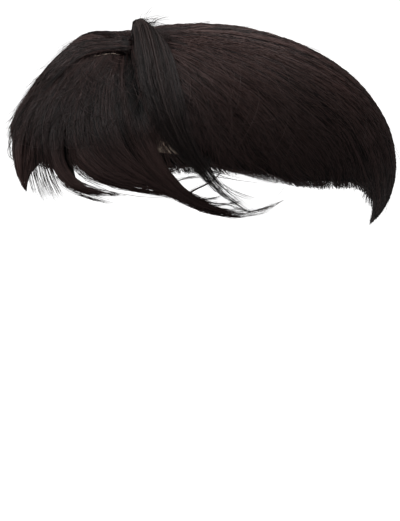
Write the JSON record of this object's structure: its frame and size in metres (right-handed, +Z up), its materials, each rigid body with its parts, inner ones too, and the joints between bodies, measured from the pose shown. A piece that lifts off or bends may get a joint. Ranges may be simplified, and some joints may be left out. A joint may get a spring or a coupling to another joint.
{
  "type": "toupee hairpiece",
  "caption": "Men's hairpiece: a moulded net base carrying straight dark locks combed out from a front whorl, with a swept fringe and a raised forelock.",
  "frame": {"origin": "crown of the scalp that the base is moulded to: the highest point of the base's inner face, where the hairpiece sits on a head", "axes": "+Z up from the crown, the face is at -Y so +Y runs from the fringe to the back of the head, +X is the wearer's left"},
  "size_m": [0.1776, 0.2196, 0.1058],
  "materials": {
    "hair": "combed hair, brown-black with a soft sheen",
    "forelock_hair": "combed hair, greyer sheen",
    "base_net": "fine matt net, pale skin tone"
  },
  "bodies": {
    "root": {"base_cap": "base_net", "front_fringe": "hair", "forelock": "forelock_hair", "left_side_hair": "hair", "left_back_hair": "hair", "back_hair": "hair", "right_back_hair": "hair", "right_side_hair": "hair"}
  },
  "joints": []
}
